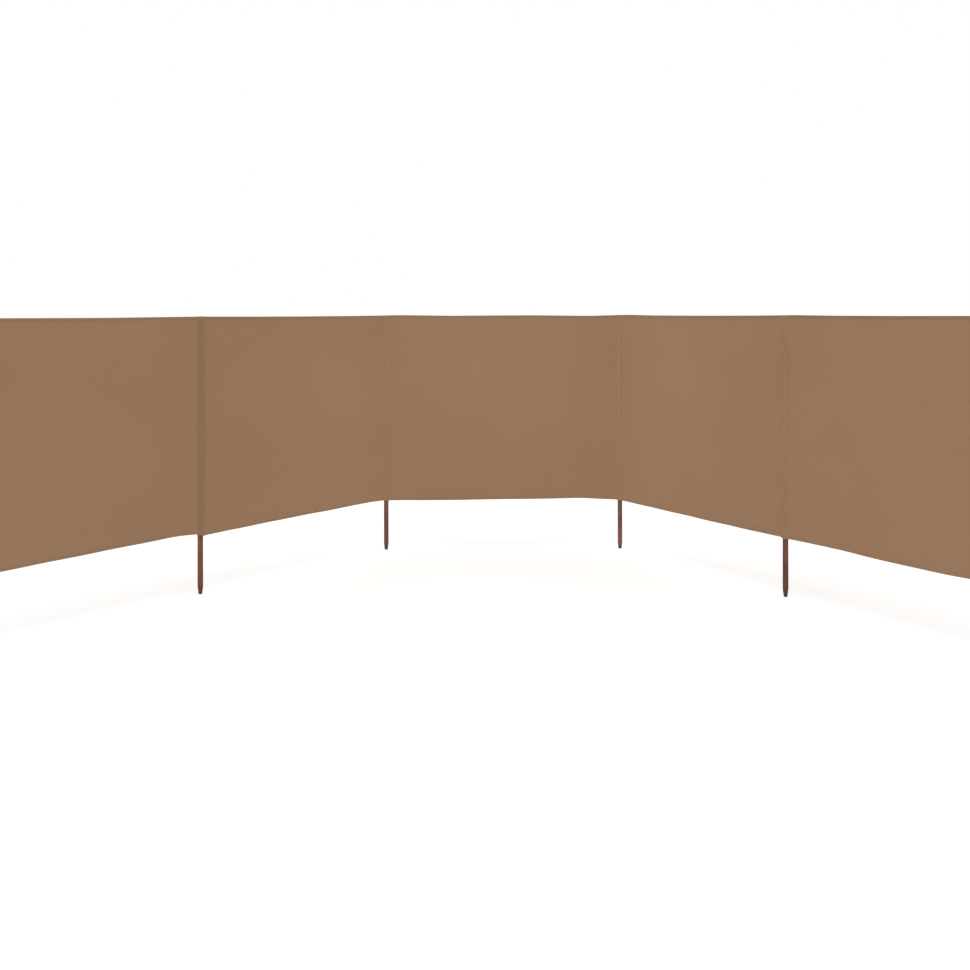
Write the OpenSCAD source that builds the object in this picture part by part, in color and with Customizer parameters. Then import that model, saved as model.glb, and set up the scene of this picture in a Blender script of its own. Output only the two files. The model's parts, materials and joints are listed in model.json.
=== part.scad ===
// Beach windbreak: a long cloth screen of five bays carried on six round
// wooden poles. Each pole stands in a sewn pocket in the cloth, and its lower
// end is left bare and pointed so that it can be pushed into sand. The cloth
// turns freely round each pole, so the bays can be set at any angle.
//
// Frame: the origin is the flat tip of the third pole from the left, +X runs
// along the centre bay to the fourth pole, +Z is up, and the open side of the
// screen faces -Y. All sizes are in millimetres.

/* [Bays] */
// Distance between the axes of two neighbouring poles
bay_w = 1200; // [800:10:1600]
// Angle by which the bay left of the centre stands forward of straight
left_inner_turn = 52; // [0:0.5:68]
// Further angle of the far left bay, counted from its neighbour
left_outer_turn = 0.5; // [-30:0.5:30]
// Angle by which the bay right of the centre stands forward of straight
right_inner_turn = 61.5; // [0:0.5:68]
// Further angle of the far right bay, counted from its neighbour
right_outer_turn = -0.5; // [-30:0.5:30]

/* [Poles] */
// Length of a pole from its tip to the closed top of its pocket
pole_len = 1200; // [900:10:1600]
// Diameter of the bare shank below the cloth
pole_d = 24; // [18:0.5:32]
// Diameter at the top of the pole, inside the pocket
pole_top_d = 23.2; // [17:0.1:32]
// Length of the pointed end
point_len = 32; // [25:1:80]
// Diameter of the blunt end of the point
point_d = 15; // [6:0.5:16]

/* [Cloth] */
// Height of the cloth from its lower hem to the top of the pockets
cloth_h = 946; // [600:2:1200]
// Thickness of one layer of cloth, with its backing
cloth_t = 1.2; // [0.8:0.1:2]
// Thickness of a turned and stitched hem
hem_t = 2.4; // [1.6:0.1:4]
// Height of a hem
hem_h = 12; // [10:1:30]
// How far the upper hem lies below the tops of the pockets
top_drop = 3; // [1:0.5:8]
// Wall of a pocket round its pole
pocket_wall = 1; // [0.6:0.1:2]
// Room between a pole and its pocket
pocket_play = 0.4; // [0.3:0.1:1]
// Room between a pocket and the edges of the bays that turn round it
turn_gap = 0.6; // [0.4:0.1:2]

/* [Hidden] */
$fn = 64;

// Heights above the tips of the poles
cloth_low = pole_len - cloth_h;
hem_top = pole_len - top_drop;
// The bare shank stops just short of the pocket's mouth
shank_top = cloth_low - 4;
pole_top = pole_len - pocket_wall - pocket_play;

// Radii round a pole's axis
pole_r = pole_d / 2;
pocket_in_r = pole_r + pocket_play;
pocket_r = pocket_in_r + pocket_wall;
edge_r = pocket_r + turn_gap;

cloth_colour = [0.588, 0.463, 0.357];
hem_colour = [0.549, 0.431, 0.333];
wood_colour = [0.451, 0.294, 0.2];

// Direction of each bay in plan, from its left pole to its right pole
heading = [
  left_inner_turn + left_outer_turn,
  left_inner_turn,
  0,
  -right_inner_turn,
  -right_inner_turn - right_outer_turn
];
function along(k) = bay_w * [cos(heading[k - 1]), sin(heading[k - 1]), 0];

// Plan position of each pole's axis, counted from the left
pole_3_at = [0, 0, 0];
pole_2_at = pole_3_at - along(2);
pole_1_at = pole_2_at - along(1);
pole_4_at = pole_3_at + along(3);
pole_5_at = pole_4_at + along(4);
pole_6_at = pole_5_at + along(5);
pole_at = [pole_1_at, pole_2_at, pole_3_at, pole_4_at, pole_5_at, pole_6_at];

// Puts children into a bay: X along the bay from its left pole, Y behind it
module in_bay(k) {
  translate(pole_at[k - 1]) rotate([0, 0, heading[k - 1]]) children();
}

// A strip of cloth from one pocket of a bay to the other
module strip(thick, low, high) {
  translate([edge_r, -thick / 2, low])
    cube([bay_w - 2 * edge_r, thick, high - low]);
}

// Round pole, pointed below and very slightly slimmer inside its pocket
module pole(i) {
  color(wood_colour)
    translate(pole_at[i - 1])
      rotate_extrude()
        polygon([
          [0, 0],
          [point_d / 2 - 1, 0],
          [point_d / 2, 1.4],
          [pole_r, point_len],
          [pole_r, shank_top],
          [pole_top_d / 2, pole_top - 1.5],
          [pole_top_d / 2 - 1.5, pole_top],
          [0, pole_top]
        ]);
}

// Sewn pocket: a sleeve of cloth, open below and closed over the pole's top
module pocket(i) {
  color(cloth_colour)
    translate(pole_at[i - 1])
      rotate_extrude()
        polygon([
          [pocket_in_r, cloth_low],
          [pocket_r, cloth_low],
          [pocket_r, pole_len - 1.2],
          [pocket_r - 1.2, pole_len],
          [0, pole_len],
          [0, pole_len - pocket_wall],
          [pocket_in_r, pole_len - pocket_wall]
        ]);
}

// Single layer of cloth between the two hems of a bay
module panel(k) {
  color(cloth_colour)
    in_bay(k) strip(cloth_t, cloth_low + hem_h, hem_top - hem_h);
}

// Turned and stitched upper edge of a bay
module top_hem(k) {
  color(hem_colour)
    in_bay(k) strip(hem_t, hem_top - hem_h, hem_top);
}

// Turned and stitched lower edge of a bay
module bottom_hem(k) {
  color(hem_colour)
    in_bay(k) strip(hem_t, cloth_low, cloth_low + hem_h);
}

pole(1);  // pole_1
pole(2);  // pole_2
pole(3);  // pole_3
pole(4);  // pole_4
pole(5);  // pole_5
pole(6);  // pole_6

pocket(1);  // pocket_1
pocket(2);  // pocket_2
pocket(3);  // pocket_3
pocket(4);  // pocket_4
pocket(5);  // pocket_5
pocket(6);  // pocket_6

panel(1);  // panel_1
panel(2);  // panel_2
panel(3);  // panel_3
panel(4);  // panel_4
panel(5);  // panel_5

top_hem(1);  // top_hem_1
top_hem(2);  // top_hem_2
top_hem(3);  // top_hem_3
top_hem(4);  // top_hem_4
top_hem(5);  // top_hem_5

bottom_hem(1);  // bottom_hem_1
bottom_hem(2);  // bottom_hem_2
bottom_hem(3);  // bottom_hem_3
bottom_hem(4);  // bottom_hem_4
bottom_hem(5);  // bottom_hem_5
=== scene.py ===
import json
import math

import bmesh
import bpy
import numpy as np
from mathutils import Matrix, Vector


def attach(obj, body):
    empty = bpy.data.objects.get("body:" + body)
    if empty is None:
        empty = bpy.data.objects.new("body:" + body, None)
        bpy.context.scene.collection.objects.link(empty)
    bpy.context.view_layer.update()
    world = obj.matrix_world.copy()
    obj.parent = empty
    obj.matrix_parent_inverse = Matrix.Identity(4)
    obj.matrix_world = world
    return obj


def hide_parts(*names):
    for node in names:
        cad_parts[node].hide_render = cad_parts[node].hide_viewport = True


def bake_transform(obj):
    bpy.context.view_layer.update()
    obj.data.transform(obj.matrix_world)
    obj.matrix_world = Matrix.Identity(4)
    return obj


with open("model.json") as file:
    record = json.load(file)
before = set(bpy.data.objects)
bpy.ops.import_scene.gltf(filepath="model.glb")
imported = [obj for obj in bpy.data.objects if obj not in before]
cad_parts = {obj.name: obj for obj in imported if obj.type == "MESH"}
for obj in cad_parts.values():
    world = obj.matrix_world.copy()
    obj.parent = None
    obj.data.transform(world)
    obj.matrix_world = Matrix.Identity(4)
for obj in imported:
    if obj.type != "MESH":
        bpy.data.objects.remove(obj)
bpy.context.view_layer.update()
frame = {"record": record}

MM = 0.001

# ---------------------------------------------------------------- layout
# The poles' axes come from the mounts at their tips, and a bay runs from pole
# k to pole k + 1. In a bay, u runs along it from its left pole, s is out of
# its front face, and z is height.
TIPS = {m["name"]: m["pos_m"] for m in frame["record"]["mounts"]}
POLE = {i: np.array(TIPS[f"pole_{i}_tip"][:2], float) for i in range(1, 7)}
BAY_BODY = {
    1: "left_outer_bay",
    2: "left_inner_bay",
    3: "centre_bay",
    4: "right_inner_bay",
    5: "right_outer_bay",
}
POLE_BODY = {
    1: "left_outer_bay",
    2: "left_inner_bay",
    3: "centre_bay",
    4: "centre_bay",
    5: "right_inner_bay",
    6: "right_outer_bay",
}
LOW, HIGH = 0.254, 1.2  # nominal lower and upper edges of the cloth
BAY = float(np.linalg.norm(POLE[4] - POLE[3]))
CLOTH_HALF = 0.36 * MM  # half the thickness of one layer
HEM = 12 * MM
HEM_SEAM = 9.1 * MM  # stitch line of a hem, from the cloth's edge
TOP_SEAM = 4.6 * MM  # second stitch line of an upper hem
FLANGE = 20.5 * MM  # where a pocket's sewn edge ends, from the pole's axis
SEAM = 17.8 * MM  # its stitch line
SPLIT = 16.2 * MM  # where its two layers part
POCKET_R = 13.2 * MM
LAYER = 0.8 * MM
LIFT = 7.5 * MM  # how far the poles hold the cloth forward, at a sewn edge
LIFT_RUN = 150 * MM  # and how far from it that dies away

# Shape of the hems, in millimetres from the nominal edge against millimetres
# along the bay: the cloth hangs a little unevenly from pole to pole.
TOP_EDGE = {
    1: [(0, -1), (270, -3), (700, -4), (950, -2.5), (1200, -1)],
    2: [(0, -1), (300, -2.5), (600, -3), (950, -2), (1200, -0.5)],
    3: [(0, -0.2), (80, 1), (330, -2.6), (740, -1), (1050, -4.6), (1200, -0.6)],
    4: [(0, -0.6), (70, 0.4), (320, -2.6), (640, -3), (1000, -2), (1200, -0.2)],
    5: [(0, -0.2), (50, 0.8), (260, -1.4), (600, -2), (930, -1), (1200, -0.5)],
}
LOW_EDGE = {
    1: [(0, 1), (260, 5), (470, 8), (700, 11), (940, 11.5), (1060, 13), (1150, 9), (1200, 4)],
    2: [(0, -3), (110, -4.5), (290, -2), (600, 2.5), (940, 3.5), (1080, 4), (1200, 0)],
    3: [(0, -1), (180, -3.5), (330, -2.5), (590, 1), (840, 3), (1000, 6), (1100, 0.5), (1200, -3)],
    4: [(0, -4), (90, -5.5), (260, -5.5), (640, -6.5), (980, -6.5), (1110, -5), (1200, -1)],
    5: [(0, -4), (90, -4), (360, -2.5), (610, -5), (840, -3), (930, -0.5), (1200, 1)],
}


def soft_line(points):
    """A smooth function of u through listed points, all in metres."""
    xs = np.linspace(0, BAY, 601)
    ys = np.interp(xs, [p[0] * BAY / 1200 for p in points], [p[1] * MM for p in points])
    half = 24
    kernel = np.hanning(2 * half + 1)
    kernel /= kernel.sum()
    ys = np.convolve(np.pad(ys, half, mode="edge"), kernel, mode="valid")
    return lambda u: np.interp(u, xs, ys)


TOP = {k: soft_line(p) for k, p in TOP_EDGE.items()}
BOTTOM = {k: soft_line(p) for k, p in LOW_EDGE.items()}


def z_top(k, u):
    return HIGH + TOP[k](u)


def z_low(k, u):
    return LOW + BOTTOM[k](u)


def along(k):
    d = POLE[k + 1] - POLE[k]
    return d / np.linalg.norm(d)


def place(k, u, s, z):
    """Points of bay k in the frame, from arrays of u, s and z."""
    d = along(k)
    front = np.array([d[1], -d[0]])
    u, s, z = np.broadcast_arrays(np.asarray(u, float), np.asarray(s, float), np.asarray(z, float))
    return np.stack(
        [
            POLE[k][0] + d[0] * u + front[0] * s,
            POLE[k][1] + d[1] * u + front[1] * s,
            z,
        ],
        -1,
    )


def ease(t):
    t = np.clip(t, 0, 1)
    return t * t * (3 - 2 * t)


def lift(far):
    """The screen passes in front of its poles, and is drawn back to the line
    between them on both sides. far is the distance from a pole's axis."""
    return LIFT * np.clip(1 - (far - FLANGE) / LIFT_RUN, 0, None) ** 2


class Swell:
    """How far the cloth of a bay stands out of its plane: a slight belly, long
    soft waves, fine pull lines from the corners, and pucker beside the seams."""

    def __init__(self, k):
        rng = np.random.default_rng(40 + k)
        self.k = k
        self.belly = rng.uniform(-2.5, 2.5) * MM
        self.waves = [
            (rng.uniform(0.5, 1.4), rng.uniform(-0.9, 0.9), rng.uniform(0, 6.28), a * MM)
            for a in (1.8, 1.4, 1.1, 0.8)
        ]
        self.low = [(rng.uniform(2.2, 4.6), rng.uniform(0, 6.28), a * MM) for a in (1.6, 1.0)]
        self.rim = [(rng.uniform(26, 46), rng.uniform(0, 6.28), a * MM) for a in (0.24, 0.2, 0.14)]
        self.side = [
            [(rng.uniform(24, 44), rng.uniform(0, 6.28), a * MM) for a in (0.26, 0.2, 0.14)]
            for _ in range(2)
        ]
        self.corner = [
            (rng.uniform(0.35, 0.55), rng.uniform(0, 6.28), rng.uniform(0.5, 0.8) * MM)
            for _ in range(4)
        ]

    def __call__(self, u, z):
        u, z = np.broadcast_arrays(np.asarray(u, float), np.asarray(z, float))
        a, b = u - FLANGE, BAY - FLANGE - u
        free = ease(a / 0.17) * ease(b / 0.17)
        t, h = u / BAY, (z - LOW) / (HIGH - LOW)
        out = lift(u) + lift(BAY - u) + self.belly * np.sin(np.pi * t) * free
        for fu, fz, ph, amp in self.waves:
            out = out + amp * free * np.sin(2 * np.pi * (fu * t + fz * h) + ph)
        hang = np.exp(-np.clip(z - z_low(self.k, u), 0, 1) / 0.16)
        for f, ph, amp in self.low:
            out = out + amp * free * hang * np.sin(2 * np.pi * f * t + ph)
        # pucker along both hems
        for edge, sign in ((z_low(self.k, u) + HEM, 1), (z_top(self.k, u) - HEM, -1)):
            far = np.clip(sign * (z - edge), -HEM, 1)
            fade = np.where(far < 0, np.exp(far / (0.6 * HEM)), np.exp(-far / 0.03))
            for f, ph, amp in self.rim:
                out = out + amp * free * fade * np.sin(2 * np.pi * f * t + ph + 2 * sign)
        # pucker and pull lines beside the pockets
        for near, waves in zip((a, b), self.side):
            fade = ease(near / 0.014) * np.exp(-np.clip(near, 0, 2) / 0.035)
            for f, ph, amp in waves:
                out = out + amp * fade * np.sin(2 * np.pi * f * h + ph)
        for (f, ph, amp), near, rise in zip(self.corner, (a, b, a, b), (h, h, 1 - h, 1 - h)):
            r = np.hypot(near, rise * (HIGH - LOW)) + 1e-6
            turn = np.arctan2(rise * (HIGH - LOW), np.clip(near, 1e-6, None))
            fade = ease(near / 0.03) * ease(r / 0.08) * np.exp(-r / 0.17)
            out = out + amp * fade * np.sin(2 * np.pi * turn / f + ph)
        return out


SWELL = {k: Swell(k) for k in range(1, 6)}

# ---------------------------------------------------------------- meshes


def new_object(name, verts, faces, material, uv=None, sharp=48, shade=None, weld=False):
    me = bpy.data.meshes.new(name)
    me.from_pydata(np.asarray(verts, float).tolist(), [], [tuple(f) for f in faces])
    me.update()
    if uv is not None:
        layer = me.uv_layers.new(name="cloth_uv")
        loops = np.zeros(len(me.loops), np.int32)
        me.loops.foreach_get("vertex_index", loops)
        layer.data.foreach_set("uv", np.asarray(uv, np.float32)[loops].ravel())
    if shade is not None:
        me.attributes.new("shade", "FLOAT", "POINT").data.foreach_set("value", np.asarray(shade, np.float32))
    bm = bmesh.new()
    bm.from_mesh(me)
    if weld:
        bmesh.ops.remove_doubles(bm, verts=bm.verts, dist=2e-6)
        bmesh.ops.dissolve_degenerate(bm, edges=bm.edges, dist=1e-6)
    bmesh.ops.recalc_face_normals(bm, faces=bm.faces)
    bm.to_mesh(me)
    bm.free()
    me.polygons.foreach_set("use_smooth", np.ones(len(me.polygons), bool))
    me.set_sharp_from_angle(angle=math.radians(sharp))
    me.materials.append(material)
    ob = bpy.data.objects.new(name, me)
    bpy.context.scene.collection.objects.link(ob)
    return ob


def grid_faces(n, m, start=0, flip=False):
    """Quads of an n by m grid of vertices stored row by row."""
    i, j = np.meshgrid(np.arange(n - 1), np.arange(m - 1), indexing="ij")
    a = (i * m + j).ravel() + start
    q = np.stack([a, a + m, a + m + 1, a + 1], 1)
    return (q[:, ::-1] if flip else q).tolist()


def shell(front, back):
    """A closed shell from two grids of points of one shape, (n, m, 3)."""
    n, m, _ = front.shape
    off = n * m
    faces = grid_faces(n, m) + grid_faces(n, m, off, True)
    ring = (
        [i * m for i in range(n)]
        + [(n - 1) * m + j for j in range(1, m)]
        + [i * m + m - 1 for i in range(n - 2, -1, -1)]
        + [j for j in range(m - 2, 0, -1)]
    )
    for a, b in zip(ring, ring[1:] + ring[:1]):
        faces.append((a, b, b + off, a + off))
    return np.concatenate([front.reshape(-1, 3), back.reshape(-1, 3)]), faces


def fine_ends(low, high, zone, fine, coarse):
    """Positions from low to high, close together near both ends."""
    n = max(2, round(zone / fine))
    m = max(2, round((high - low - 2 * zone) / coarse))
    return np.unique(
        np.concatenate(
            [
                np.linspace(low, low + zone, n + 1),
                np.linspace(low + zone, high - zone, m + 1),
                np.linspace(high - zone, high, n + 1),
            ]
        ).round(7)
    )


# ---------------------------------------------------------------- materials


class Tree:
    """A short way to write a material's nodes."""

    def __init__(self, name):
        self.material = bpy.data.materials.new(name)
        self.material.use_nodes = True
        self.tree = self.material.node_tree
        self.tree.nodes.clear()
        self.out = self.add("ShaderNodeOutputMaterial")
        self.shader = self.add("ShaderNodeBsdfPrincipled")
        self.link(self.shader.outputs["BSDF"], self.out.inputs["Surface"])

    def add(self, kind, **values):
        node = self.tree.nodes.new(kind)
        for key, value in values.items():
            setattr(node, key, value)
        return node

    def link(self, a, b):
        self.tree.links.new(a, b)

    def put(self, socket, value):
        if isinstance(value, bpy.types.NodeSocket):
            self.link(value, socket)
        else:
            socket.default_value = value

    def math(self, op, a, b=0.0, c=0.0):
        node = self.add("ShaderNodeMath", operation=op)
        for socket, value in zip(node.inputs, (a, b, c)):
            self.put(socket, value)
        return node.outputs[0]

    def noise(self, vector, scale, detail=2.0, rough=0.5, distortion=0.0):
        node = self.add("ShaderNodeTexNoise")
        self.put(node.inputs["Vector"], vector)
        node.inputs["Scale"].default_value = scale
        node.inputs["Detail"].default_value = detail
        node.inputs["Roughness"].default_value = rough
        node.inputs["Distortion"].default_value = distortion
        return node.outputs["Fac"]

    def stretch(self, vector, scale, shift=(0, 0, 0)):
        node = self.add("ShaderNodeMapping")
        self.put(node.inputs["Vector"], vector)
        node.inputs["Scale"].default_value = scale
        node.inputs["Location"].default_value = shift
        return node.outputs[0]

    def remap(self, value, a, b, c, d):
        node = self.add("ShaderNodeMapRange")
        node.clamp = True
        for socket, x in zip(node.inputs, (value, a, b, c, d)):
            self.put(socket, x)
        return node.outputs[0]

    def mix(self, fac, a, b, blend="MIX"):
        node = self.add("ShaderNodeMix", data_type="RGBA", blend_type=blend)
        self.put(node.inputs[0], fac)
        self.put(node.inputs[6], a)
        self.put(node.inputs[7], b)
        return node.outputs[2]

    def bump(self, height, strength, distance, normal=None):
        node = self.add("ShaderNodeBump")
        node.inputs["Strength"].default_value = strength
        node.inputs["Distance"].default_value = distance
        self.put(node.inputs["Height"], height)
        if normal is not None:
            self.link(normal, node.inputs["Normal"])
        return node.outputs["Normal"]


def rgb(colour, gain=1.0):
    return (colour[0] * gain, colour[1] * gain, colour[2] * gain, 1.0)


CLOTH = (0.276, 0.1635, 0.0915)
WEAVE_MEAN = 0.59  # mean height of the weave, so that it doesn't shift the colour


def cloth_material(name, gain=1.0, shaded=None):
    """Close plain-woven polyester: round threads that pass over and under each
    other, slubs along both, and a faint unevenness of the dye. The weave's
    height also darkens the colour in the gaps between threads and lightens it
    on their crowns: painted shade and painted highlight. The pattern follows
    the cloth's own length and height, in metres. shaded is what the colour is
    multiplied by where the mesh's painted shade is 1."""
    t = Tree(name)
    uv = t.add("ShaderNodeUVMap", uv_map="cloth_uv").outputs[0]
    split = t.add("ShaderNodeSeparateXYZ")
    t.link(uv, split.inputs[0])
    thread = math.pi / (0.85 * MM)
    drift = []  # the threads are not quite evenly spaced
    for axis, stretched in ((0, (140, 16, 1)), (1, (16, 140, 1))):
        wander = t.noise(t.stretch(uv, stretched, (5.3 * axis, 2.9, 0)), 1.0, 1.0, 0.5)
        drift.append(t.math("MULTIPLY_ADD", wander, 2.4 * MM, split.outputs[axis]))
    warp = t.math("COSINE", t.math("MULTIPLY", drift[0], thread))
    weft = t.math("COSINE", t.math("MULTIPLY", drift[1], thread))
    over = t.math("MULTIPLY", warp, weft)  # which of the two threads is on top
    upright = t.math("MULTIPLY_ADD", over, 0.4, t.math("MULTIPLY", t.math("ABSOLUTE", warp), 0.6))
    across = t.math("MULTIPLY_ADD", over, -0.4, t.math("MULTIPLY", t.math("ABSOLUTE", weft), 0.6))
    weave = t.math("SUBTRACT", t.math("MAXIMUM", upright, across), WEAVE_MEAN)
    slub_u = t.noise(t.stretch(uv, (9, 760, 1)), 1.0, 2.0, 0.6)
    slub_v = t.noise(t.stretch(uv, (760, 7, 1), (3.1, 7.7, 0)), 1.0, 2.0, 0.6)
    fleck = t.noise(t.stretch(uv, (310, 310, 1)), 1.0, 2.0, 0.6)
    dye = t.noise(t.stretch(uv, (2.6, 3.4, 1), (1.7, 0.4, 0)), 1.0, 3.0, 0.5)
    tone = t.math("MULTIPLY", t.math("SUBTRACT", t.math("ADD", slub_u, slub_v), 1.0), 0.55)
    tone = t.math("MULTIPLY_ADD", t.math("SUBTRACT", fleck, 0.5), 0.5, tone)
    tone = t.math("MULTIPLY_ADD", t.math("SUBTRACT", dye, 0.5), 0.55, tone)
    tone = t.math("ADD", tone, 0.5)
    dark = rgb((CLOTH[0] * 0.925, CLOTH[1] * 0.92, CLOTH[2] * 0.91), gain)
    light = rgb((CLOTH[0] * 1.075, CLOTH[1] * 1.08, CLOTH[2] * 1.09), gain)
    colour = t.mix(tone, dark, light)
    # painted shade in the gaps between threads and painted highlight on their crowns, from the weave's height
    colour = t.mix(1.0, colour, t.math("MULTIPLY_ADD", weave, 0.34, 1.0), "MULTIPLY")
    if shaded is not None:
        # painted shade: where a dark pole stands behind the cloth less light comes through it, and shade falls in
        # the upper hem's stitch grooves
        shade = t.add("ShaderNodeAttribute", attribute_name="shade").outputs["Fac"]
        colour = t.mix(shade, colour, rgb(shaded), "MULTIPLY")
    t.put(t.shader.inputs["Base Color"], colour)
    t.put(t.shader.inputs["Roughness"], t.remap(fleck, 0.25, 0.75, 0.8, 0.93))
    relief = t.math("MULTIPLY_ADD", t.math("ADD", slub_u, slub_v), 0.4, weave)
    t.link(t.bump(relief, 0.6, 0.22 * MM), t.shader.inputs["Normal"])
    t.shader.inputs["Specular IOR Level"].default_value = 0.22
    t.shader.inputs["Sheen Weight"].default_value = 0.06
    t.shader.inputs["Sheen Roughness"].default_value = 0.45
    t.shader.inputs["Sheen Tint"].default_value = (0.9, 0.8, 0.7, 1)
    return t.material


def thread_material():
    """Twisted polyester sewing thread, a little darker than the cloth."""
    t = Tree("sewing_thread")
    co = t.add("ShaderNodeTexCoord").outputs["Object"]
    ply = t.noise(t.stretch(co, (900, 900, 900)), 1.0, 1.0, 0.5)
    t.put(
        t.shader.inputs["Base Color"],
        t.mix(ply, rgb(CLOTH, 0.74), rgb(CLOTH, 0.98)),
    )
    t.put(t.shader.inputs["Roughness"], t.remap(ply, 0.3, 0.7, 0.5, 0.66))
    t.link(t.bump(ply, 0.4, 0.1 * MM), t.shader.inputs["Normal"])
    t.shader.inputs["Specular IOR Level"].default_value = 0.35
    return t.material


def wood_material(name, stain, seed, dark_reach=0.05):
    """Stained softwood: long grain, fine pores, a foot that is darker towards
    the bottom with a near-black point, and a dull finish. stain is its middle
    colour, and the last argument is how far up the foot stays darker."""
    t = Tree(name)
    co = t.add("ShaderNodeTexCoord").outputs["Object"]
    split = t.add("ShaderNodeSeparateXYZ")
    t.link(co, split.inputs[0])
    grain = t.noise(t.stretch(co, (150, 150, 5.5), (0, 0, seed)), 1.0, 4.0, 0.62, 0.6)
    streak = t.noise(t.stretch(co, (460, 460, 9), (0, 0, seed + 0.5)), 1.0, 3.0, 0.6, 0.3)
    pores = t.noise(t.stretch(co, (1100, 1100, 60), (0, 0, seed)), 1.0, 2.0, 0.6)
    cloud = t.noise(t.stretch(co, (9, 9, 11), (0, 0, seed)), 1.0, 2.0, 0.5)
    ramp = t.add("ShaderNodeValToRGB")
    stops = [
        (0.28, (0.52, 0.50, 0.50)),
        (0.44, (0.86, 0.84, 0.82)),
        (0.58, (1.08, 1.10, 1.12)),
        (0.76, (1.40, 1.50, 1.56)),
    ]
    while len(ramp.color_ramp.elements) < len(stops):
        ramp.color_ramp.elements.new(0.5)
    for e, (p, c) in zip(ramp.color_ramp.elements, stops):
        e.position = p
        e.color = rgb((stain[0] * c[0], stain[1] * c[1], stain[2] * c[2]))
    mixed = t.math("MULTIPLY_ADD", t.math("SUBTRACT", pores, 0.5), 0.35, grain)
    mixed = t.math("MULTIPLY_ADD", t.math("SUBTRACT", streak, 0.5), 0.6, mixed)
    mixed = t.math("MULTIPLY_ADD", t.math("SUBTRACT", cloud, 0.5), 0.4, mixed)
    t.link(mixed, ramp.inputs[0])
    height = t.math("MULTIPLY_ADD", t.math("SUBTRACT", grain, 0.5), 0.03, split.outputs[2])
    # the foot is darker towards the bottom, and its point near-black
    foot_dark = t.remap(height, 0.008, dark_reach, 0.5, 0.0)
    point_dark = t.remap(height, 0.0, 0.016, 0.95, 0.0)
    colour = t.mix(foot_dark, ramp.outputs[0], rgb((0.075, 0.034, 0.024)))
    colour = t.mix(point_dark, colour, rgb((0.028, 0.021, 0.018)))
    t.put(t.shader.inputs["Base Color"], colour)
    t.put(t.shader.inputs["Roughness"], t.remap(mixed, 0.3, 0.7, 0.72, 0.52))
    t.link(t.bump(mixed, 0.5, 0.35 * MM), t.shader.inputs["Normal"])
    t.shader.inputs["Specular IOR Level"].default_value = 0.16
    return t.material


MAT_CLOTH = cloth_material("cloth_weave")
# The hems are a little darker than the cloth: painted shade, for the doubled cloth letting less light through.
MAT_HEM = cloth_material("cloth_hem_weave", 0.975)
MAT_TOP_HEM = cloth_material("cloth_top_hem_weave", 0.98, shaded=(0.75, 0.735, 0.72))
# Each pocket darkens where its pole stands behind the cloth: painted shade, set pole by pole.
MAT_POCKET = {
    1: cloth_material("cloth_pocket_1_weave", shaded=(0.9, 0.895, 0.88)),
    2: cloth_material("cloth_pocket_2_weave", shaded=(0.885, 0.873, 0.845)),
    3: cloth_material("cloth_pocket_3_weave", shaded=(0.915, 0.908, 0.895)),
    4: cloth_material("cloth_pocket_4_weave", shaded=(0.955, 0.951, 0.943)),
    5: cloth_material("cloth_pocket_5_weave", shaded=(0.975, 0.973, 0.968)),
    6: cloth_material("cloth_pocket_6_weave", shaded=(0.9, 0.895, 0.88)),
}
MAT_THREAD = thread_material()
MAT_WOOD = {
    1: wood_material("stained_wood_1", (0.150, 0.060, 0.034), 3),
    2: wood_material("stained_wood_2", (0.158, 0.064, 0.031), 17),
    3: wood_material("stained_wood_3", (0.132, 0.061, 0.041), 29),
    4: wood_material("stained_wood_4", (0.152, 0.072, 0.052), 41),
    5: wood_material("stained_wood_5", (0.136, 0.051, 0.032), 53, 0.2),
    6: wood_material("stained_wood_6", (0.148, 0.064, 0.038), 67),
}

# ---------------------------------------------------------------- cloth bays


def make_cloth(k):
    """One layer of cloth from pocket to pocket, tucked into both hems."""
    us = np.concatenate(
        [
            [18.6 * MM, 19.6 * MM],
            fine_ends(FLANGE, BAY - FLANGE, 70 * MM, 4.4 * MM, 12.5 * MM),
            [BAY - 19.6 * MM, BAY - 18.6 * MM],
        ]
    )
    vs = fine_ends(0, 1, 0.075, 0.0048, 0.0132)
    u, v = np.meshgrid(us, vs, indexing="ij")
    low, high = z_low(k, u) + 3 * MM, z_top(k, u) - 3 * MM
    z = low + v * (high - low)
    s = SWELL[k](u, z)
    verts, faces = shell(place(k, u, s + CLOTH_HALF, z), place(k, u, s - CLOTH_HALF, z))
    uv = np.stack([u + BAY * k, z], -1).reshape(-1, 2)
    return new_object(f"cloth_{k}", verts, faces, MAT_CLOTH, np.concatenate([uv, uv]))


# Section of a hem: distance out of the cloth's middle, distance from the edge.
HEM_SECTION = [
    (0.30, 12.0),
    (0.70, 11.95),
    (0.91, 11.7),
    (0.99, 11.1),
    (0.98, 10.2),
    (0.82, 9.5),
    (0.74, 9.1),
    (0.82, 8.7),
    (0.99, 8.0),
    (1.06, 6.2),
    (1.08, 4.2),
    (1.06, 2.2),
    (0.95, 1.0),
    (0.66, 0.3),
    (0.26, 0.03),
]


# An upper hem has a second dip, for its second row of stitches.
TOP_HEM_SECTION = (
    [p for p in HEM_SECTION if p[1] > 7]
    + [(1.06, 6.4), (1.02, 5.5), (0.84, 5.0), (0.76, 4.6), (0.84, 4.2), (1.02, 3.7)]
    + [p for p in HEM_SECTION if p[1] < 3]
)
# How much painted shade lies along the upper hem's seams, at each pole.
SEAM_SHADE = {1: 0.2, 2: 0.35, 3: 0.1, 4: 0.35, 5: 0.95, 6: 1.0}


def seam_shade(k, u, far):
    """Painted shade along the seams of an upper hem of bay k, from the distance to the cloth's edge."""
    strength = SEAM_SHADE[k] + (SEAM_SHADE[k + 1] - SEAM_SHADE[k]) * u / BAY
    return strength * (np.exp(-(((far - TOP_SEAM) / (1.5 * MM)) ** 2)) + 0.85 * np.exp(-(((far - 11.3 * MM) / (1.7 * MM)) ** 2)))


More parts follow.
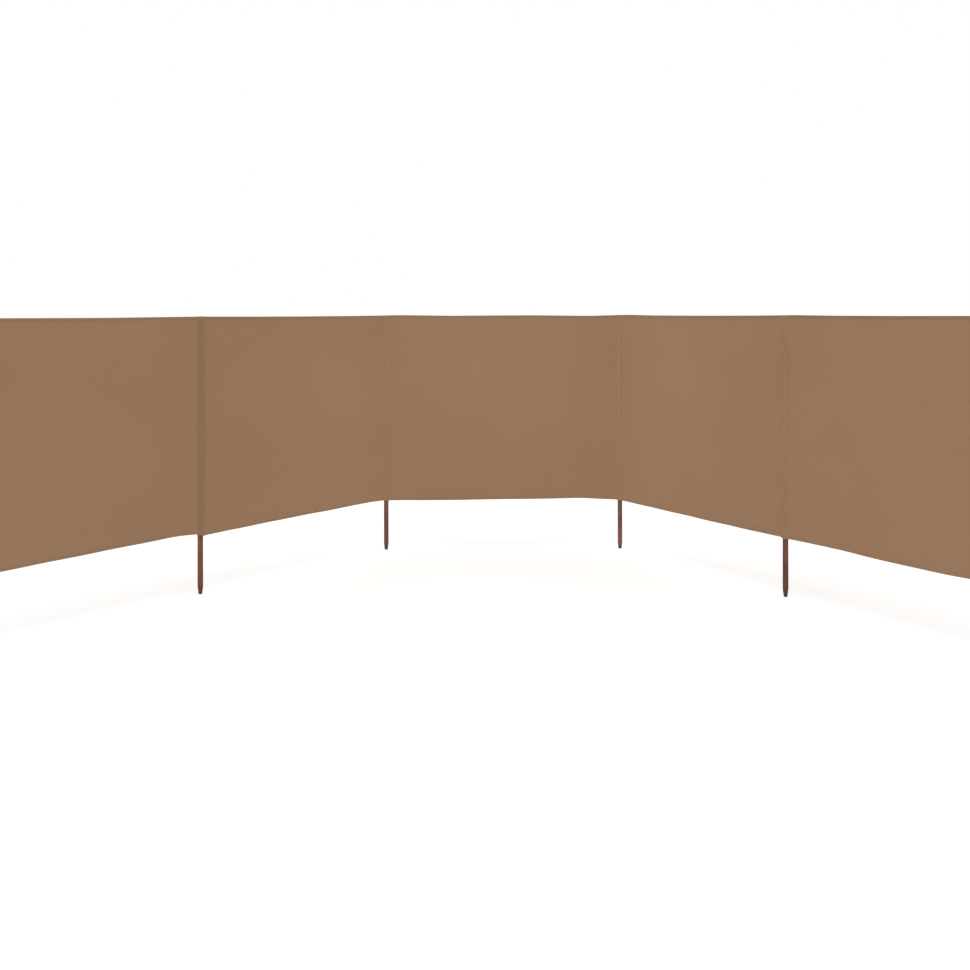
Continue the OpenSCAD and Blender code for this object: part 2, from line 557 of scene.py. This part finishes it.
def hem_unevenness(k, upper, us):
    """How a hem's inner edge wanders, and how full its fold is, along it."""
    rng = np.random.default_rng(70 + 2 * k + upper)
    wander = sum(
        a * MM * np.sin(2 * np.pi * us / w + rng.uniform(0, 6.28))
        for w, a in ((0.21, 0.5), (0.083, 0.3), (0.037, 0.22))
    )
    plump = 1 + sum(
        a * np.sin(2 * np.pi * us / w + rng.uniform(0, 6.28))
        for w, a in ((0.031, 0.07), (0.053, 0.06), (0.017, 0.05))
    )
    return wander, plump


def make_hem(k, upper):
    """A turned edge with a rounded fold and a stitch groove on both faces."""
    us = fine_ends(18.4 * MM, BAY - 18.4 * MM, 60 * MM, 5 * MM, 6.5 * MM)
    wander, plump = hem_unevenness(k, upper, us)
    half_section = TOP_HEM_SECTION if upper else HEM_SECTION
    section = [(s, r) for s, r in half_section] + [(-s, r) for s, r in half_section[::-1]]
    rows = []
    for s, r in section:
        rise = r * MM + wander * ease((r - 7) / 5)
        z = z_top(k, us) - rise if upper else z_low(k, us) + rise
        rows.append(place(k, us, SWELL[k](us, z) + s * MM * (plump if abs(s) > 0.5 else 1), z))
    pts = np.stack(rows, 1)  # along u, round the section
    n, m, _ = pts.shape
    faces = []
    for i in range(n - 1):
        for j in range(m):
            a, b = i * m + j, i * m + (j + 1) % m
            faces.append((a, b, b + m, a + m))
    half = m // 2
    for i in (0, n - 1):  # close both ends with strips across the section
        for j in range(half - 1):
            faces.append((i * m + j, i * m + j + 1, i * m + m - 2 - j, i * m + m - 1 - j))
    turn = np.array([(r if s > 0 else -r) * MM for s, r in section])
    uv = np.stack(
        [
            np.repeat(us + BAY * k + 8, m),
            np.tile(turn, n) + (HIGH if upper else LOW),
        ],
        1,
    )
    if not upper:
        return new_object(f"bottom_hem_fold_{k}", pts.reshape(-1, 3), faces, MAT_HEM, uv)
    # painted shade along the upper hem's two stitch lines
    shade = seam_shade(k, us[:, None], np.array([r for _, r in section])[None, :] * MM)
    return new_object(f"top_hem_fold_{k}", pts.reshape(-1, 3), faces, MAT_TOP_HEM, uv, shade=shade.ravel())


# ---------------------------------------------------------------- stitching


STITCH = 5 * MM  # from one stitch to the next
STITCH_RINGS = [(-1.0, 0.62), (-0.5, 1.0), (0.5, 1.0), (1.0, 0.62)]


def stitch_mesh(centres, along_dir, out_dir):
    """Many thread stitches as one set of vertices and faces. Each is a strand
    along along_dir whose ends go down into the cloth; out_dir points off it."""
    c = np.asarray(centres, float)
    a = np.asarray(along_dir, float)
    o = np.asarray(out_dir, float)
    side = np.cross(a, o)
    half, radius, rise, sink, sides = 2.0 * MM, 0.42 * MM, 0.1 * MM, 0.42 * MM, 5
    local = []
    for x, fat in STITCH_RINGS:
        height = rise * (1 - x * x) - sink * x * x
        for j in range(sides):
            turn = 2 * math.pi * j / sides
            local.append((x * half, fat * radius * math.sin(turn), height + fat * radius * math.cos(turn)))
    local = np.array(local)
    pts = (
        c[:, None, :]
        + local[None, :, :1] * a[:, None, :]
        + local[None, :, 1:2] * side[:, None, :]
        + local[None, :, 2:3] * o[:, None, :]
    )
    base = []
    rings = len(STITCH_RINGS)
    for r in range(rings - 1):
        for j in range(sides):
            n = (j + 1) % sides
            base.append((r * sides + j, r * sides + n, (r + 1) * sides + n, (r + 1) * sides + j))
    base.append(tuple(range(sides))[::-1])
    base.append(tuple((rings - 1) * sides + j for j in range(sides)))
    faces = []
    for i in range(len(c)):
        faces += [tuple(x + rings * sides * i for x in f) for f in base]
    return pts.reshape(-1, 3), faces


# ---------------------------------------------------------------- pockets

# Sewn edge of a pocket: distance from the pole's axis, distance out of the
# cloth's middle. The dip is the stitch line.
FLANGE_SECTION = [
    (20.5, 0.45),
    (20.4, 0.95),
    (20.0, 1.18),
    (19.2, 1.24),
    (18.5, 1.2),
    (18.1, 1.02),
    (17.8, 0.96),
    (17.5, 1.02),
    (17.1, 1.22),
    (16.7, 1.4),
    (16.2, 1.66),
]


# The hems run on across the pockets: distance from the edge, and how far the
# turned cloth stands out of the pocket there. The dip is the stitch line.
POCKET_HEM = [
    (0.0, 0.06),
    (0.3, 0.28),
    (1.0, 0.42),
    (2.2, 0.48),
    (4.4, 0.5),
    (6.6, 0.46),
    (8.2, 0.36),
    (8.8, 0.2),
    (9.1, 0.14),
    (9.4, 0.2),
    (10.2, 0.36),
    (11.1, 0.4),
    (11.7, 0.32),
    (11.95, 0.16),
    (12.15, 0.03),
    (13.0, 0.0),
]


TOP_POCKET_HEM = (
    [p for p in POCKET_HEM if p[0] < 3]
    + [(3.6, 0.49), (4.2, 0.3), (4.6, 0.22), (5.0, 0.3), (5.6, 0.48)]
    + [p for p in POCKET_HEM if p[0] > 6]
)


def hem_relief(far):
    """How far a hem stands out of a pocket, from the distance to the edge."""
    return np.interp(far / MM, [r for r, _ in POCKET_HEM], [s for _, s in POCKET_HEM]) * MM


def polar(r, a):
    return np.stack([r * np.cos(a), r * np.sin(a)], -1)


def taut(a, b, turn, radius, n_line, n_arc):
    """Points of a cloth layer drawn tight from a to b round a circle at the
    origin, going round by the angle turn, which is signed."""
    sign = 1 if turn > 0 else -1
    ra, rb = np.hypot(*a), np.hypot(*b)
    ta = math.atan2(a[1], a[0])
    ba, bb = math.acos(min(1, radius / ra)), math.acos(min(1, radius / rb))
    if abs(turn) > ba + bb:
        start, stop = ta + sign * ba, ta + turn - sign * bb
        pa, pb = polar(radius, start), polar(radius, stop)
        line_a = a + (pa - a) * np.linspace(0, 1, n_line + 1)[:, None]
        line_b = pb + (b - pb) * np.linspace(0, 1, n_line + 1)[:, None]
        arc = polar(radius, np.linspace(start, stop, n_arc + 1))
        pts = np.concatenate([line_a[:-1], arc, line_b[1:]])
    else:
        pts = a + (b - a) * np.linspace(0, 1, 2 * n_line + n_arc + 1)[:, None]
    for _ in range(3):  # cloth doesn't bend sharply where it leaves the pole
        pts[1:-1] = 0.25 * pts[:-2] + 0.5 * pts[1:-1] + 0.25 * pts[2:]
    return pts


def between(a, b, sign, radius):
    """As taut, going round the front if sign is 1 and the back if it is -1."""
    turn = (math.atan2(b[1], b[0]) - math.atan2(a[1], a[0])) % (2 * math.pi)
    return taut(a, b, turn if sign > 0 else turn - 2 * math.pi, radius, N_LINE, N_ARC)


def half_round(b, turn, seam, radius):
    """A layer from the far side of an end pole, opposite the direction seam,
    where the cloth turns back, to the point b of its sewn edge."""
    sign = 1 if turn > 0 else -1
    tb = math.atan2(b[1], b[0])
    lean = (tb - seam + math.pi) % (2 * math.pi) - math.pi
    stop = tb - sign * math.acos(radius / np.hypot(*b))
    pb = polar(radius, stop)
    arc = polar(radius, np.linspace(tb - turn - lean, stop, N_ARC + N_LINE + 1))
    line = pb + (b - pb) * np.linspace(0, 1, N_LINE + 1)[:, None]
    pts = np.concatenate([arc, line[1:]])
    for _ in range(2):
        pts[1:-1] = 0.25 * pts[:-2] + 0.5 * pts[1:-1] + 0.25 * pts[2:]
    return pts


N_LINE, N_ARC = 5, 18
CORNER = 15 * MM  # inner corner of the tunnel, along the bay


def pocket_paths(i):
    """Plan of pocket i about its pole: outer and inner points of its front and
    back layers, left to right, with the index where the layers part at each
    end. An end pocket has one sewn edge, and turns back round its pole."""
    sides = {}
    if i > 1:
        sides["L"] = math.atan2(*(-along(i - 1))[::-1])
    if i < 6:
        sides["R"] = math.atan2(*along(i)[::-1])
    paths = {}
    for layer, sign in (("front", 1), ("back", -1)):
        edges, corners = {}, {}
        for side, a in sides.items():
            d = np.array([math.cos(a), math.sin(a)])
            out = np.array([-d[1], d[0]]) * (sign if side == "L" else -sign)
            front = out * sign
            edges[side] = np.array(
                [r * MM * d + s * MM * out + lift(r * MM) * front for r, s in FLANGE_SECTION]
            )
            corners[side] = CORNER * d + lift(CORNER) * front
        if len(sides) == 2:
            mid = between(edges["L"][-1], edges["R"][-1], sign, POCKET_R)
            outer = np.concatenate([edges["L"][:-1], mid, edges["R"][::-1][1:]])
            inner = between(corners["L"], corners["R"], sign, POCKET_R - LAYER)
            first, last = len(edges["L"]) - 1, len(edges["L"]) - 1 + len(mid) - 1
        else:
            side = "L" if i == 6 else "R"
            turn = math.pi * (sign if side == "R" else -sign)
            mid = half_round(edges[side][-1], turn, sides[side], POCKET_R)
            inner = half_round(corners[side], turn, sides[side], POCKET_R - LAYER)
            outer = np.concatenate([mid, edges[side][::-1][1:]])
            first, last = 0, len(mid) - 1
            if side == "L":
                outer, inner = outer[::-1], inner[::-1]
                n = len(outer) - 1
                first, last = n - last, n
        paths[layer] = outer, inner, first, last
    return paths


def make_pocket(i):
    """Tunnel of cloth round a pole: two layers sewn together along each side,
    open below, and closed by a low crown over the pole's end."""
    paths = pocket_paths(i)
    (f_out, f_in, first, last), (b_out, b_in, _, _) = paths["front"], paths["back"]
    m = len(f_out)
    # where each column stands between the left and the right sewn edge
    chord = f_out[-1] - f_out[0] if 1 < i < 6 else None
    if chord is not None:
        share = np.clip(((f_out - f_out[0]) @ chord) / (chord @ chord), 0, 1)
    else:
        share = np.linspace(0, 1, m)
    left = i - 1 if i > 1 else None
    right = i if i < 6 else None
    lows, tops = [], []
    for k, u in ((left, BAY - 0.019), (right, 0.019)):
        if k is not None:
            lows.append(float(z_low(k, u)))
            tops.append(float(z_top(k, u)))
    if len(lows) == 1:
        lows, tops = lows * 2, tops * 2
    bow = np.sin(np.pi * share)
    if chord is None:
        away = np.linalg.norm(f_out, axis=1)
        bow = ease((FLANGE - away) / (FLANGE - POCKET_R))
    low = lows[0] + (lows[1] - lows[0]) * ease(share) - 0.4 * MM - 2.2 * MM * bow
    top = tops[0] + (tops[1] - tops[0]) * share + 0.5 * MM
    top = top + (HIGH - 0.5 * MM - top) * ease(bow * 1.15)
    rng = np.random.default_rng(200 + i)
    pucker = [(rng.uniform(0.016, 0.034), rng.uniform(0, 6.28), a * MM) for a in (0.22, 0.2, 0.16)]
    folds = [(rng.uniform(0.07, 0.2), rng.uniform(0, 6.28), a * MM) for a in (0.3, 0.26)]
    verts, index = [], {}

    def ring(name, xy, z):
        index[name] = len(verts) + np.arange(len(xy))
        verts.extend(
            np.column_stack([POLE[i][0] + xy[:, 0], POLE[i][1] + xy[:, 1], np.broadcast_to(z, len(xy))]).tolist()
        )

    mids = 0.5 * (f_out + b_out)
    span = np.linalg.norm(f_out - b_out, axis=1)
    body = slice(first + 1, last)
    # rows up the pocket: the lower hem, the tunnel, the upper hem and its
    # rounded rim, each with how far it stands out and how far it is drawn in
    rows = [(low + r * MM, out * MM, 0.0) for r, out in POCKET_HEM]
    reach_up = 13 * MM
    for step in np.linspace(0, 1, 124)[1:-1]:
        rows.append((low + reach_up + step * (top - low - 2 * reach_up), 0.0, 0.0))
    rows += [(top - r * MM, out * MM, 0.0) for r, out in TOP_POCKET_HEM[:2:-1]]
    rows += [
        (top - d * MM, out * MM, inset * MM)
        for d, out, inset in ((1.2, 0.44, 0.2), (0.5, 0.3, 0.6), (0.1, 0.1, 1.25))
    ]
    normals = {}

    def layer_row(layer, z, stand, inset):
        """Plan of one row of a layer, at height z."""
        out = f_out if layer == "f" else b_out
        away = out - mids
        length = np.maximum(np.linalg.norm(away, axis=1), 1e-9)
        unit = away / length[:, None]
        radial = out / np.linalg.norm(out, axis=1)[:, None]
        if layer not in normals:
            step = np.gradient(out, axis=0)
            side = np.stack([step[:, 1], -step[:, 0]], -1)
            side /= np.linalg.norm(side, axis=1)[:, None]
            side *= np.sign(np.sum(side[m // 2] * radial[m // 2]))
            if chord is None:  # the two layers meet where an end pocket turns back
                bend = 0 if first == 0 else m - 1
                side[bend] = radial[bend]
            normals[layer] = side
        loose = np.zeros(m)
        loose[body] = np.sin(np.pi * np.linspace(0, 1, last - first + 1)[1:-1]) ** 0.5
        # the loose part of the layer is where it spans free of the pole
        clear = ease((np.linalg.norm(out, axis=1) - POCKET_R - 0.2 * MM) / (2.5 * MM))
        zm = float(np.mean(z))
        push = sum(a * math.sin(2 * math.pi * zm / w + ph) for w, ph, a in pucker)
        fold = sum(a * math.sin(2 * math.pi * zm / w + ph) for w, ph, a in folds)
        xy = out - unit * np.minimum(inset, 0.45 * length)[:, None] + normals[layer] * stand
        return xy + radial * (loose * (clear * push + (0.25 + 0.75 * clear) * abs(fold)))[:, None]

    for layer in "fb":
        for r, (z, stand, inset) in enumerate(rows):
            ring((layer, r), layer_row(layer, z, stand, inset), z)
    n = len(rows)
    faces = []
    for layer in "fb":
        for r in range(n - 1):
            a, b = index[layer, r], index[layer, r + 1]
            for j in range(m - 1):
                q = (a[j], a[j + 1], b[j + 1], b[j])
                faces.append(q if layer == "f" else q[::-1])
    for r in range(n - 1):  # the sewn edges
        for j, turn in ((0, 1), (m - 1, -1)):
            q = (index["f", r][j], index["f", r + 1][j], index["b", r + 1][j], index["b", r][j])
            faces.append(q[::turn])
    # crown over the pole's end, with a low ridge along its middle
    f_top = np.array([verts[x] for x in index["f", n - 1]])
    b_top = np.array([verts[x] for x in index["b", n - 1]])
    strips = []
    for c, rise in ((0, 0), (0.2, 0.35), (0.42, 0.5), (0.5, 0.62), (0.58, 0.5), (0.8, 0.35), (1, 0)):
        p = f_top + (b_top - f_top) * c
        p[:, 2] += rise * MM * np.minimum(1, np.linalg.norm(f_top - b_top, axis=1) / (6 * MM))
        index["crown", c] = len(verts) + np.arange(m)
        verts.extend(p.tolist())
        strips.append(index["crown", c])
    for a, b in zip(strips, strips[1:]):
        for j in range(m - 1):
            faces.append((a[j], a[j + 1], b[j + 1], b[j]))
    # ends of the crown, where the sewn edge's own thickness closes it
    for j in (0, m - 1):
        for a, b in zip(strips[1:-1], strips[2:]):
            faces.append((strips[0][j], a[j], b[j]))
    # the tunnel inside, drawn in a little where it closes over the pole
    heights = [(0.0, 1.0), (0.02, 1.0), (0.25, 1.0), (0.9992, 1.0), (1.0, 0.95)]
    for layer, inner, out in (("fi", f_in, f_out), ("bi", b_in, b_out)):
        z0 = low[first : last + 1] + 0.15 * MM
        for r, (h, grow) in enumerate(heights):
            ring((layer, r), inner * grow, z0 + h * (HIGH - 2.2 * MM - z0))
    for layer in ("fi", "bi"):
        for r in range(len(heights) - 1):
            a, b = index[layer, r], index[layer, r + 1]
            for j in range(len(a) - 1):
                q = (a[j], b[j], b[j + 1], a[j + 1])
                faces.append(q if layer == "fi" else q[::-1])
    a, b = index["fi", len(heights) - 1], index["bi", len(heights) - 1]
    for j in range(len(a) - 1):
        faces.append((a[j], b[j], b[j + 1], a[j + 1]))
    # mouth: the layers' lower edges, and the closed lower ends of the sewn edges
    for j in range(first, last):
        g = j - first
        faces.append((index["f", 0][j], index["fi", 0][g], index["fi", 0][g + 1], index["f", 0][j + 1]))
        faces.append((index["b", 0][j], index["b", 0][j + 1], index["bi", 0][g + 1], index["bi", 0][g]))
    for j in list(range(0, first)) + list(range(last, m - 1)):
        faces.append((index["f", 0][j], index["b", 0][j], index["b", 0][j + 1], index["f", 0][j + 1]))
    for j, g in ((first, 0), (last, -1)):
        faces.append((index["f", 0][j], index["b", 0][j], index["fi", 0][g]))
    verts = np.array(verts)
    # cloth coordinates: length round the layer, and height
    reach = {}
    for layer, out in (("f", f_out), ("b", b_out)):
        reach[layer] = np.concatenate([[0], np.cumsum(np.linalg.norm(np.diff(out, axis=0), axis=1))])
    uv = np.zeros((len(verts), 2))
    uv[:, 1] = verts[:, 2]
    for key, ids in index.items():
        name = key[0]
        if name in ("f", "fi", "crown"):
            base = reach["f"] if len(ids) == m else reach["f"][first : last + 1]
        else:
            base = reach["b"] if len(ids) == m else reach["b"][first : last + 1]
        uv[ids, 0] = base + 16 + 0.3 * i + (0.15 if name.startswith("b") else 0)
        if name == "crown":  # the cloth over the pole's end lies flat
            uv[ids] = verts[ids, :2] - POLE[i] + (16 + 0.3 * i, HIGH)
    # shade: painted shade where the pole behind the cloth keeps light from coming
    # through, over the tunnel but not at the hem, and painted shade along the
    # upper hem's seams
    near = ease((SEAM - np.linalg.norm(f_out, axis=1)) / (2.6 * MM))
    # pocket 2's painted shade reaches as far as its left sewn edge
    if i == 2:  # drawn tighter to the left, so it shows as far as the sewn edge there
        near = ease((0.9 - share) / 0.14)
    shade = np.ones(len(verts))
    for key, ids in index.items():
        if len(ids) == m:
            shade[ids] = near
    shade *= ease((HIGH - 13 * MM - verts[:, 2]) / (5 * MM))
    # the painted shade of poles 3 and 4 is weaker above the middle
    if i in (3, 4):  # these poles show mostly below the middle, where the cloth is tight
        shade *= 0.35 + 0.65 * ease((0.86 - verts[:, 2]) / 0.3)
    for (layer, r), ids in index.items():
        if layer in ("f", "b"):
            shade[ids] += seam_shade(min(i, 5), BAY * (i == 6), top - verts[ids, 2])
    pocket = new_object(f"pole_pocket_{i}", verts, faces, MAT_POCKET[i], uv, shade=shade, weld=True)

    # the hems' stitches, where they cross the pocket from seam to seam
    sewn, sewn_faces = [], []
    for layer in "fb":
        for z, stand in (
            (low + HEM_SEAM, 0.14 * MM),
            (top - HEM_SEAM, 0.14 * MM),
            (top - TOP_SEAM, 0.22 * MM),
        ):
            line = np.column_stack([layer_row(layer, z, stand, 0.0), z])
            beyond = np.linalg.norm((f_out + b_out) / 2, axis=1) < SEAM - 1.4 * MM
            line = line[beyond]
            reach = np.concatenate([[0], np.cumsum(np.linalg.norm(np.diff(line, axis=0), axis=1))])
            count = max(3, round(reach[-1] / STITCH))
            at = (np.arange(count) + 0.5) * reach[-1] / count
            spot = np.stack([np.interp(at, reach, line[:, c]) for c in range(3)], -1)
            ahead = np.stack([np.interp(at + 0.4 * MM, reach, line[:, c]) for c in range(3)], -1)
            behind_it = np.stack([np.interp(at - 0.4 * MM, reach, line[:, c]) for c in range(3)], -1)
            run = ahead - behind_it
            run /= np.linalg.norm(run, axis=1)[:, None]
            off = np.stack([run[:, 1], -run[:, 0], np.zeros(count)], -1)
            off /= np.linalg.norm(off, axis=1)[:, None]
            off *= np.sign(np.sum(off[count // 2, :2] * spot[count // 2, :2]))
            spot[:, :2] += POLE[i]
            v, q = stitch_mesh(spot, run, off)
            start = sum(len(x) for x in sewn)
            sewn.append(v)
            sewn_faces += [tuple(x + start for x in face) for face in q]
    sewing = new_object(f"pocket_stitching_{i}", np.concatenate(sewn), sewn_faces, MAT_THREAD, sharp=180)
    return pocket, sewing


# ---------------------------------------------------------------- seams


def make_stitching(k):
    """Lock stitch along both hems and beside both pockets of a bay, on both
    faces of the cloth."""
    d = along(k)
    front = np.array([d[1], -d[0], 0.0])
    along3 = np.array([d[0], d[1], 0.0])
    verts, faces = [], []

    def add(centres, direction, out):
        n = sum(len(v) for v in verts)
        m = len(centres)
        v, f = stitch_mesh(
            centres,
            direction if np.ndim(direction) == 2 else np.tile(direction, (m, 1)),
            np.tile(out, (m, 1)),
        )
        verts.append(v)
        faces.extend([tuple(x + n for x in q) for q in f])

    us = np.arange(FLANGE + 2.6 * MM, BAY - FLANGE - 2 * MM, STITCH)
    for upper, seam, dip in ((True, HEM_SEAM, 0.74 * MM), (True, TOP_SEAM, 0.76 * MM), (False, HEM_SEAM, 0.74 * MM)):
        z = z_top(k, us) - seam if upper else z_low(k, us) + seam
        mid = SWELL[k](us, z)
        step = 1 * MM
        ahead_z = z_top(k, us + step) - seam if upper else z_low(k, us + step) + seam
        p0 = place(k, us, mid, z)
        p1 = place(k, us + step, SWELL[k](us + step, ahead_z), ahead_z)
        run = p1 - p0
        run /= np.linalg.norm(run, axis=1)[:, None]
        groove = dip * hem_unevenness(k, upper, us)[1]
        for sign in (1, -1):
            add(place(k, us, mid + sign * groove, z), run, sign * front)
    up = np.array([0.0, 0.0, 1.0])
    for u in (SEAM, BAY - SEAM):
        lowest, highest = float(z_low(k, u)), float(z_top(k, u))
        zs = np.arange(lowest + 3.4 * MM, highest - 3 * MM, STITCH)
        dip = 0.96 * MM + hem_relief(np.minimum(zs - lowest, highest - zs))
        for sign in (1, -1):
            add(place(k, u, lift(SEAM) + sign * dip, zs), up, sign * front)
    return new_object(f"stitching_{k}", np.concatenate(verts), faces, MAT_THREAD, sharp=180)


# ---------------------------------------------------------------- poles

POLE_PROFILE = [  # radius, height, in millimetres
    (0.0, 0.0),
    (3.4, 0.0),
    (5.2, 0.1),
    (6.2, 0.45),
    (6.9, 1.1),
    (7.4, 2.2),
    (7.9, 4.2),
    (8.5, 7.6),
    (9.2, 12.0),
    (9.9, 16.6),
    (10.6, 21.4),
    (11.2, 26.0),
    (11.65, 30.2),
    (11.92, 34.6),
    (12.0, 40.0),
]


def make_pole(i):
    """Turned pole: blunt cone below, a barely uneven shank, a bevelled top."""
    rng = np.random.default_rng(300 + i)
    sides = 44
    profile = list(POLE_PROFILE)
    profile += [(12.0, z) for z in np.linspace(50, 270, 22)]
    profile += [(12.0 - 0.4 * (z - 270) / 925, z) for z in np.linspace(320, 1193.5, 12)]
    profile += [(11.45, 1195.2), (10.9, 1196.5), (9.4, 1197.1), (5.0, 1197.3), (0.0, 1197.3)]
    ang = np.linspace(0, 2 * np.pi, sides, endpoint=False)
    lobes = [(n, rng.uniform(0, 6.28), rng.uniform(0, 6.28), rng.uniform(18, 60)) for n in (2, 3, 5)]
    verts, faces = [(POLE[i][0], POLE[i][1], 0.0)], []
    rings = []
    for r, z in profile[1:-1]:
        wave = sum(
            np.cos(n * ang + ph + 2 * np.pi * z / w) * np.cos(2 * np.pi * z / (3 * w) + q)
            for n, ph, q, w in lobes
        )
        rr = (r + 0.045 * wave * ease(np.array(z / 40.0)) * (r > 4)) * MM
        rings.append(len(verts) + np.arange(sides))
        verts += list(
            zip(POLE[i][0] + rr * np.cos(ang), POLE[i][1] + rr * np.sin(ang), np.full(sides, z * MM))
        )
    verts.append((POLE[i][0], POLE[i][1], profile[-1][1] * MM))
    top = len(verts) - 1
    for j in range(sides):
        n = (j + 1) % sides
        faces.append((0, rings[0][n], rings[0][j]))
        faces.append((top, rings[-1][j], rings[-1][n]))
        for a, b in zip(rings, rings[1:]):
            faces.append((a[j], a[n], b[n], b[j]))
    return new_object(f"wood_pole_{i}", np.array(verts), faces, MAT_WOOD[i], sharp=35)


# ---------------------------------------------------------------- assembly

for k in range(1, 6):
    body = BAY_BODY[k]
    cloth = make_cloth(k)
    top_hem = make_hem(k, True)
    low_hem = make_hem(k, False)
    stitching = make_stitching(k)
    for piece, node, slot in (
        (cloth, f"panel_{k}", "cloth"),
        (top_hem, f"top_hem_{k}", "cloth_hem"),
        (low_hem, f"bottom_hem_{k}", "cloth_hem"),
    ):
        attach(piece, body)
        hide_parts(node)
    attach(stitching, body)

for i in range(1, 7):
    pole = make_pole(i)
    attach(pole, POLE_BODY[i])
    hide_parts(f"pole_{i}")
    pocket, sewing = make_pocket(i)
    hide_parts(f"pocket_{i}")
    if 1 < i < 6:
        # the cloth turns round the pole between the two bays' sewn edges
        right = POLE[i] + along(i) * SPLIT
        for piece in (pocket, sewing):
            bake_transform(piece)
    else:
        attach(pocket, POLE_BODY[i])
        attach(sewing, POLE_BODY[i])

# ---------------------------------------------------------------- stage


def floor_material():
    t = Tree("studio_floor")
    co = t.add("ShaderNodeTexCoord").outputs["Object"]
    haze = t.noise(t.stretch(co, (0.5, 0.5, 0.5)), 1.0, 2.0, 0.5)
    t.put(t.shader.inputs["Base Color"], t.mix(haze, (0.955, 0.955, 0.955, 1), (0.965, 0.965, 0.965, 1)))
    t.shader.inputs["Roughness"].default_value = 0.9
    t.shader.inputs["Specular IOR Level"].default_value = 0.1
    return t.material


bm = bmesh.new()
bmesh.ops.create_grid(bm, x_segments=8, y_segments=8, size=60)
me = bpy.data.meshes.new("floor")
bm.to_mesh(me)
bm.free()
me.materials.append(floor_material())
floor = bpy.data.objects.new("floor", me)
floor.location = (0.45, -1.0, 0.0)
bpy.context.scene.collection.objects.link(floor)

scene = bpy.context.scene
world = bpy.data.worlds.new("studio")
scene.world = world
world.use_nodes = True
background = world.node_tree.nodes["Background"]
background.inputs["Color"].default_value = (1, 1, 1, 1)
background.inputs["Strength"].default_value = 1.0


def soft_light(name, place_at, aim, size, power, spread=180):
    data = bpy.data.lights.new(name, "AREA")
    data.shape = "RECTANGLE"
    data.size, data.size_y = size
    data.energy = power
    data.spread = math.radians(spread)
    ob = bpy.data.objects.new(name, data)
    ob.location = place_at
    ob.rotation_euler = (Vector(aim) - Vector(place_at)).to_track_quat("-Z", "Y").to_euler()
    bpy.context.scene.collection.objects.link(ob)


# One softbox straight above, two narrow fills that lift the inner corners, and
# a faint one for the right wing
soft_light("overhead_softbox", (0.45, -1.1, 8.0), (0.45, -1.1, 0.0), (5.0, 5.0), 63, 84)
soft_light("fill_left", (-3.0, -4.6, 3.2), (1.26, -0.1, 0.72), (0.6, 0.6), 0.82, 15.5)
soft_light("fill_right", (3.9, -4.6, 3.4), (-0.05, -0.08, 0.72), (0.6, 0.6), 0.64, 15)
soft_light("fill_wing", (-3.0, -4.6, 3.2), (1.95, -1.4, 0.7), (1.0, 1.0), 0.3, 26)

scene.view_settings.view_transform = "Standard"
scene.view_settings.look = "None"
scene.view_settings.exposure = 0.0
scene.view_settings.gamma = 1.0

# ---------------------------------------------------------------- camera
# Level camera a little above the cloth's upper edge; the frame is shifted down
# so that upright poles stay upright in the picture.
PIXELS, FOCAL, HORIZON = 970.0, 1193.2, 311.8
eye = Vector((0.4203, -6.1235, 1.217))
look = Vector((0.01438, 0.9999, 0.0)).normalized()
roll = math.radians(0.117)
right = look.cross(Vector((0, 0, 1))).normalized()
up = right.cross(look)
r2 = right * math.cos(roll) - up * math.sin(roll)
u2 = right * math.sin(roll) + up * math.cos(roll)
camera = bpy.data.cameras.new("camera")
camera.sensor_width = 36.0
camera.lens = 36.0 * FOCAL / PIXELS
camera.shift_y = -(PIXELS / 2 - HORIZON) / PIXELS
camera.clip_start, camera.clip_end = 0.05, 200
cam = bpy.data.objects.new("camera", camera)
cam.matrix_world = Matrix(
    (
        (r2.x, u2.x, -look.x, eye.x),
        (r2.y, u2.y, -look.y, eye.y),
        (r2.z, u2.z, -look.z, eye.z),
        (0, 0, 0, 1),
    )
)
scene.collection.objects.link(cam)
scene.camera = cam
